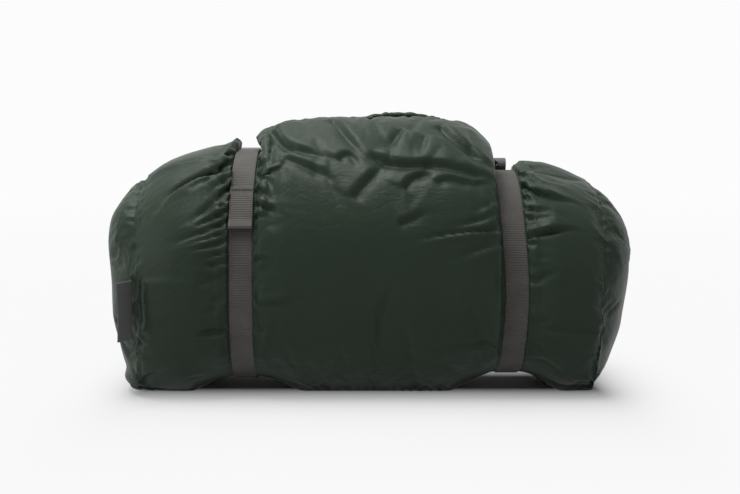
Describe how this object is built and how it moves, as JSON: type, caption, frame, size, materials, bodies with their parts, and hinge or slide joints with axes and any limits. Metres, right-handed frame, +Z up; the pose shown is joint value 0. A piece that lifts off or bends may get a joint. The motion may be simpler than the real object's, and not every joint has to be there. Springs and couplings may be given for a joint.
{
  "type": "backpacking tent packed in its stuff sack",
  "caption": "Packed backpacking tent: a soft stuff sack with a gathered mouth, cinched by buckled compression straps round the rolled fly, inner, poles and stakes.",
  "frame": {"origin": "on the ground under the middle of the sack, at the centre of its flat resting face", "axes": "+X along the sack to the right as seen from the front, +Y to the back, +Z up"},
  "size_m": [0.4768, 0.2218, 0.2508],
  "materials": {
    "green_cloth": "coated ripstop nylon, dark green, satin sheen",
    "webbing": "ribbed grey webbing, matt",
    "dark_webbing": "dark navy webbing, matt",
    "label_cloth": "bare dark grey woven tag",
    "black_plastic": "moulded black acetal",
    "black_cord": "braided cord, matt",
    "fly_cloth": "coated grey polyester",
    "inner_cloth": "pale mesh and nylon",
    "pole_metal": "anodised aluminium tube",
    "stake_metal": "red anodised aluminium",
    "spring_steel": "spring wire",
    "guyline": "braided guyline"
  },
  "bodies": {
    "sack": {"sack_body": "green_cloth", "sack_end_left": "green_cloth", "sack_end_right": "green_cloth", "mouth_hem": "green_cloth", "drawcord_loop": "black_cord", "drawcord_leg_a": "black_cord", "drawcord_leg_b": "black_cord", "drawcord_knot": "black_cord", "haul_loop": "dark_webbing", "left_strap_web": "webbing", "right_strap_web": "webbing", "left_buckle_shell": "black_plastic", "right_buckle_shell": "black_plastic", "rainfly_roll": "fly_cloth", "inner_tent_roll": "inner_cloth", "pole_bag": "green_cloth", "stake_bag": "green_cloth", "guyline_hank_a": "guyline", "guyline_hank_b": "guyline", "repair_sleeve": "pole_metal", "pole_a_section_1": "pole_metal", "pole_a_section_2": "pole_metal", "pole_a_section_3": "pole_metal", "pole_a_section_4": "pole_metal", "pole_a_section_5": "pole_metal", "pole_a_section_6": "pole_metal", "pole_a_section_7": "pole_metal", "pole_a_section_8": "pole_metal", "pole_a_section_9": "pole_metal", "pole_b_section_1": "pole_metal", "pole_b_section_2": "pole_metal", "pole_b_section_3": "pole_metal", "pole_b_section_4": "pole_metal", "pole_b_section_5": "pole_metal", "pole_b_section_6": "pole_metal", "pole_b_section_7": "pole_metal", "pole_b_section_8": "pole_metal", "pole_b_section_9": "pole_metal", "pole_a_shock_cord": "black_cord", "pole_a_plug_tip": "black_plastic", "pole_a_cap_tip": "black_plastic", "pole_b_shock_cord": "black_cord", "pole_b_plug_tip": "black_plastic", "pole_b_cap_tip": "black_plastic", "stake_1": "stake_metal", "stake_2": "stake_metal", "stake_3": "stake_metal", "stake_4": "stake_metal", "stake_5": "stake_metal", "stake_6": "stake_metal"},
    "left_latch": {"left_buckle_latch": "black_plastic", "left_strap_tail": "webbing"},
    "right_latch": {"right_buckle_latch": "black_plastic", "right_strap_tail": "webbing"},
    "cord_lock": {"cord_lock_barrel": "black_plastic", "cord_lock_spring": "spring_steel"},
    "lock_plunger": {"cord_lock_plunger": "black_plastic"},
    "label": {"label_tag": "label_cloth"}
  },
  "joints": [
    {"name": "left_buckle_release", "type": "slide", "parent": "sack", "child": "left_latch", "axis": [0, -0.7599, 0.6501], "range_m": [0, 0.022]},
    {"name": "right_buckle_release", "type": "slide", "parent": "sack", "child": "right_latch", "axis": [0, 0.6124, -0.7906], "range_m": [0, 0.022]},
    {"name": "cord_lock_slide", "type": "slide", "parent": "sack", "child": "cord_lock", "axis": [0, 0.9787, -0.2054], "range_m": [0, 0.012]},
    {"name": "cord_lock_press", "type": "slide", "parent": "cord_lock", "child": "lock_plunger", "axis": [1, 0, 0], "range_m": [0, 0.0025], "stiffness_N_per_m": 600, "springref_m": -0.001, "deforming": ["cord_lock_spring"]},
    {"name": "label_flap", "type": "hinge", "parent": "sack", "child": "label", "pos_m": [-0.2, -0.0921, 0.054], "axis": [0, -0.0396, 0.9992], "range_deg": [-50, 50]}
  ]
}
